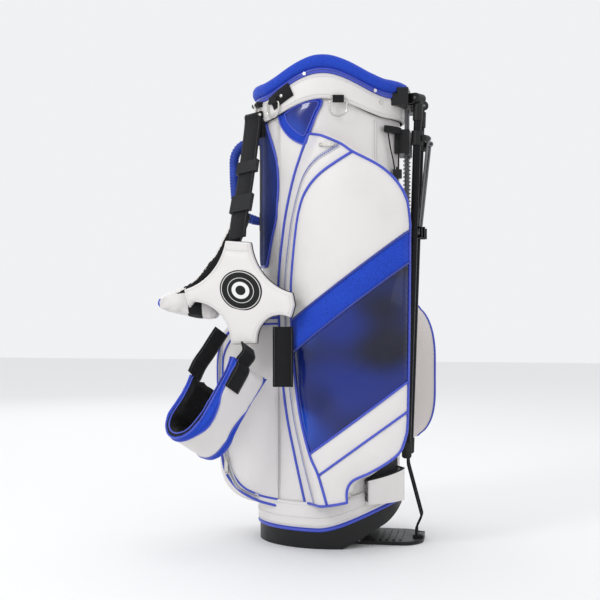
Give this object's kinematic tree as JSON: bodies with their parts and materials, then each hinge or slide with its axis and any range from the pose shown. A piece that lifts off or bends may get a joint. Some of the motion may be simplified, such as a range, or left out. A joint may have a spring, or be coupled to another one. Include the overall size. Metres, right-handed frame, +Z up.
{
  "type": "golf stand bag",
  "caption": "Oval golf bag with padded rim, club dividers, zipped pockets, carrying strap with star pad, and folding legs worked by a base pedal.",
  "frame": {"origin": "on the bag's axis, in the flat underside of its base", "axes": "+Z up along the bag, +X from the axis towards the folding legs, -Y towards the long pocket"},
  "size_m": [0.5062, 0.4062, 0.881],
  "materials": {
    "leatherette": "smooth grained leatherette over foam",
    "mesh": "spacer mesh over foam",
    "padding": "padded leatherette and mesh",
    "base_plastic": "satin molded plastic",
    "black_plastic": "matt molded plastic",
    "blue_rubber": "ribbed grip",
    "piping": "covered cord",
    "webbing": "woven polyester tape",
    "zipper": "zipper tape and teeth",
    "metal": "nickel plated",
    "leg_aluminium": "black anodised",
    "rubber": "matt",
    "badge": "printed disc",
    "fibre_rod": "glass fibre rod",
    "steel_black": "black zinc"
  },
  "bodies": {
    "bag": {"base_molding": "base_plastic", "base_piping": "piping", "base_band": "leatherette", "wall_spine_side": "leatherette", "wall_near_side": "leatherette", "wall_far_side": "leatherette", "wall_leg_side": "leatherette", "stay_rods": "fibre_rod", "cuff_shell": "base_plastic", "cuff_band": "leatherette", "rim_piping": "piping", "rim_pad": "mesh", "divider_frame": "black_plastic", "divider_bars": "black_plastic", "divider_panels": "webbing", "near_pocket": "leatherette", "far_pocket": "leatherette", "ball_pocket": "leatherette", "umbrella_pouch": "webbing", "umbrella_cord_near": "webbing", "umbrella_cord_far": "webbing", "cord_lock": "black_plastic", "umbrella_tabs": "webbing", "spine_pad": "mesh", "carry_handle": "blue_rubber", "ring_tabs": "webbing", "snaps_and_eyelet": "metal", "pocket_zippers": "zipper", "hook_bracket": "black_plastic", "leg_bracket": "black_plastic", "bracket_screws": "steel_black", "hinge_pins": "steel_black", "guide_block": "black_plastic", "lower_guide": "black_plastic", "guide_rods": "steel_black", "return_springs": "metal"},
    "near_leg": {"leg_tube_near": "leg_aluminium", "leg_fittings_near": "black_plastic", "foot_near": "rubber"},
    "far_leg": {"leg_tube_far": "leg_aluminium", "leg_fittings_far": "black_plastic", "foot_far": "rubber"},
    "near_strut": {"strut_near": "steel_black"},
    "far_strut": {"strut_far": "steel_black"},
    "slider_set": {"slider": "black_plastic", "actuator_wires": "steel_black"},
    "pedal_plate": {"pedal": "black_plastic"},
    "strap": {"strap_hook": "metal", "strap_webbing": "webbing", "strap_buckles": "black_plastic", "star_pad": "padding", "star_badge": "badge", "shoulder_pad_lower": "padding", "shoulder_pad_upper": "padding"},
    "left_ring": {"d_ring_left": "metal"},
    "centre_ring": {"d_ring_centre": "metal"},
    "near_pull": {"near_zip_pull": "metal"},
    "ball_pull": {"ball_zip_pull": "metal"},
    "far_pull": {"far_zip_pull": "metal"},
    "lock_button": {"cord_lock_button": "black_plastic"}
  },
  "joints": [
    {"name": "leg_near_hinge", "type": "hinge", "parent": "bag", "child": "near_leg", "pos_m": [0.167, -0.044, 0.81], "axis": [-0.4695, -0.8829, 0], "range_deg": [0, 40]},
    {"name": "leg_far_hinge", "type": "hinge", "parent": "bag", "child": "far_leg", "pos_m": [0.167, 0.044, 0.81], "axis": [0.4695, -0.8829, 0], "range_deg": [0, 40]},
    {"name": "strut_near_hinge", "type": "hinge", "parent": "near_leg", "child": "near_strut", "pos_m": [0.17691, -0.04927, 0.73752], "axis": [-0.4695, -0.8829, 0], "range_deg": [-56, 0]},
    {"name": "strut_far_hinge", "type": "hinge", "parent": "far_leg", "child": "far_strut", "pos_m": [0.17691, 0.04927, 0.73752], "axis": [0.4695, -0.8829, 0], "range_deg": [-56, 0]},
    {"name": "slider_slide", "type": "slide", "parent": "bag", "child": "slider_set", "axis": [0, 0, 1], "range_m": [0, 0.032], "stiffness_N_per_m": 300, "springref_m": -0.03, "deforming": ["return_springs"]},
    {"name": "pedal_hinge", "type": "hinge", "parent": "bag", "child": "pedal_plate", "pos_m": [0.062, 0, 0.008], "axis": [0, -1, 0], "range_deg": [0, 18]},
    {"name": "strap_swing", "type": "hinge", "parent": "bag", "child": "strap", "pos_m": [-0.131, -0.05762, 0.804], "axis": [-0.5077, 0.8615, 0], "range_deg": [0, 40]},
    {"name": "left_ring_swing", "type": "hinge", "parent": "bag", "child": "left_ring", "pos_m": [-0.092, -0.09416, 0.802], "axis": [-0.8104, 0.5858, 0], "range_deg": [0, 110]},
    {"name": "centre_ring_swing", "type": "hinge", "parent": "bag", "child": "centre_ring", "pos_m": [0.031, -0.12008, 0.797], "axis": [-0.9822, -0.1876, 0], "range_deg": [0, 110]},
    {"name": "near_pull_swing", "type": "hinge", "parent": "bag", "child": "near_pull", "pos_m": [0.00618, -0.16444, 0.714], "axis": [0, 0, -1], "range_deg": [0, 150]},
    {"name": "ball_pull_swing", "type": "hinge", "parent": "bag", "child": "ball_pull", "pos_m": [-0.18182, -0.0826, 0.15], "axis": [-0.9602, 0.2793, 0], "range_deg": [0, 150]},
    {"name": "far_pull_swing", "type": "hinge", "parent": "bag", "child": "far_pull", "pos_m": [0.06, 0.1645, 0.395], "axis": [0, 0, 1], "range_deg": [0, 150]},
    {"name": "lock_button_slide", "type": "slide", "parent": "bag", "child": "lock_button", "axis": [0, 0, -1], "range_m": [0, 0.003], "stiffness_N_per_m": 200, "springref_m": -0.002}
  ],
  "couplings": [
    {"joint": "leg_far_hinge", "follows": "leg_near_hinge", "ratio": 1},
    {"joint": "strut_near_hinge", "follows": "leg_near_hinge", "ratio": -1.357},
    {"joint": "strut_far_hinge", "follows": "leg_near_hinge", "ratio": -1.357},
    {"joint": "slider_slide", "follows": "leg_near_hinge", "m_per_rad": 0.0442},
    {"joint": "pedal_hinge", "follows": "leg_near_hinge", "ratio": 0.44}
  ]
}
